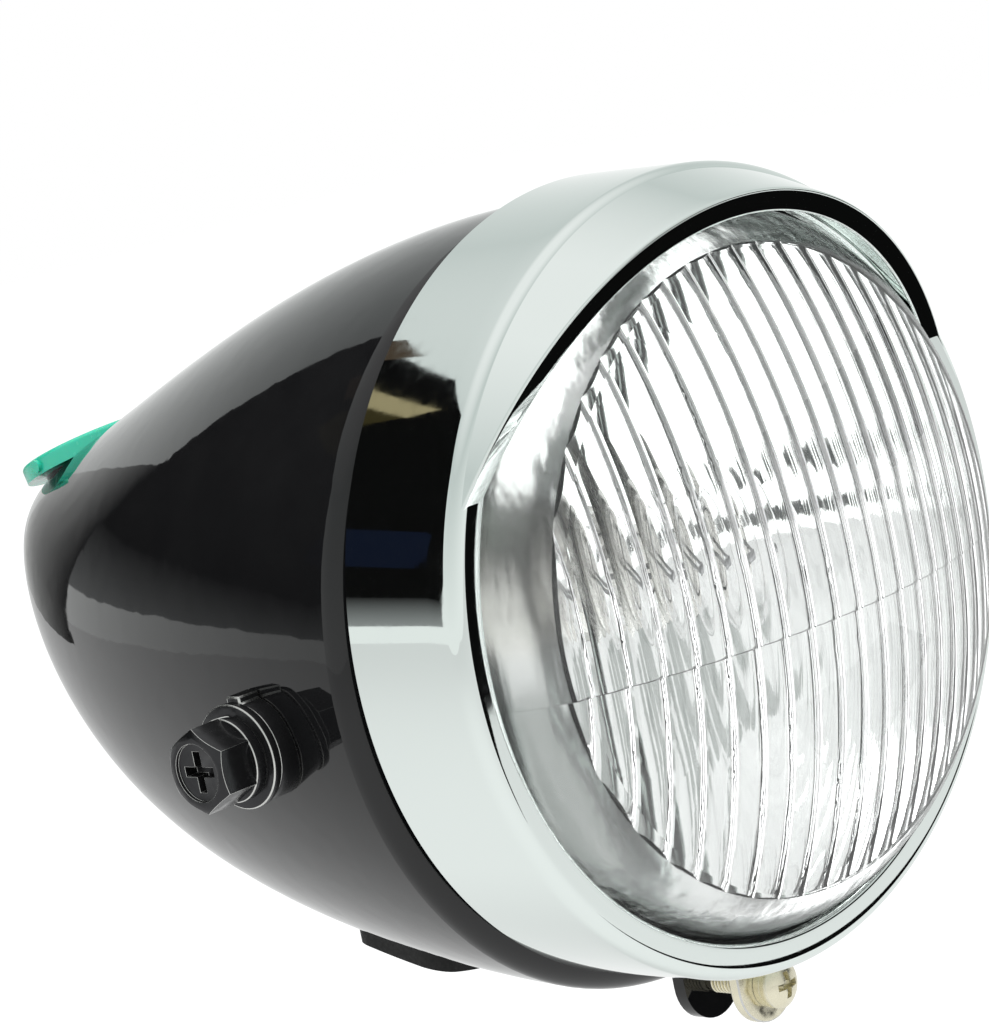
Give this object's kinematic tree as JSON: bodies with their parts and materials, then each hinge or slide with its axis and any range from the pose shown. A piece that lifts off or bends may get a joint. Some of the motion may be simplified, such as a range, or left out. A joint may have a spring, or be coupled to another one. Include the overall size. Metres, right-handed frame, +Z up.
{
  "type": "moped headlight",
  "caption": "Moped headlight: black pressed-steel bowl, peaked chrome rim, fluted domed glass, side pivot bolts and a clamp screw under the rim",
  "frame": {"origin": "on the pivot axis, midway between the two side bolts", "axes": "+Z up, the beam leaves along -Y, X along the pivot axis"},
  "size_m": [0.1552, 0.1889, 0.1412],
  "materials": {
    "black_paint": "gloss",
    "black_rubber": "matte",
    "green_plastic": "gloss",
    "chrome_plate": "mirror",
    "zinc_plate": "satin",
    "black_zinc": "gloss",
    "lens_glass": "clear",
    "mirror_coat": "mirror",
    "spring_steel": "satin",
    "nickel_plate": "satin",
    "bulb_brass": "satin",
    "bulb_glass": "clear",
    "filament_wire": "satin",
    "brown_plastic": "matte"
  },
  "bodies": {
    "root": {"headlight_shell": "black_paint", "wire_grommet": "black_rubber", "cable_slot_edging": "black_rubber", "aperture_cap": "green_plastic", "chrome_rim": "chrome_plate", "rim_lug": "zinc_plate", "clamp_screw": "zinc_plate", "clamp_spring_washer": "zinc_plate", "lens": "lens_glass", "lens_gasket": "black_rubber", "lens_seal": "black_rubber", "reflector": "mirror_coat", "reflector_clips": "spring_steel", "bulb_holder": "spring_steel", "bulb_base": "nickel_plate", "bulb_glass": "bulb_glass", "bulb_filament": "filament_wire", "socket_cap": "brown_plastic", "contact_springs": "bulb_brass", "socket_terminals": "bulb_brass", "left_pivot_collar": "black_zinc", "left_plain_washer": "black_zinc", "left_spring_washer": "black_zinc", "left_pivot_bolt": "black_zinc", "left_pivot_nut": "zinc_plate", "right_pivot_collar": "black_zinc", "right_plain_washer": "black_zinc", "right_spring_washer": "black_zinc", "right_pivot_bolt": "black_zinc", "right_pivot_nut": "zinc_plate"}
  },
  "joints": []
}
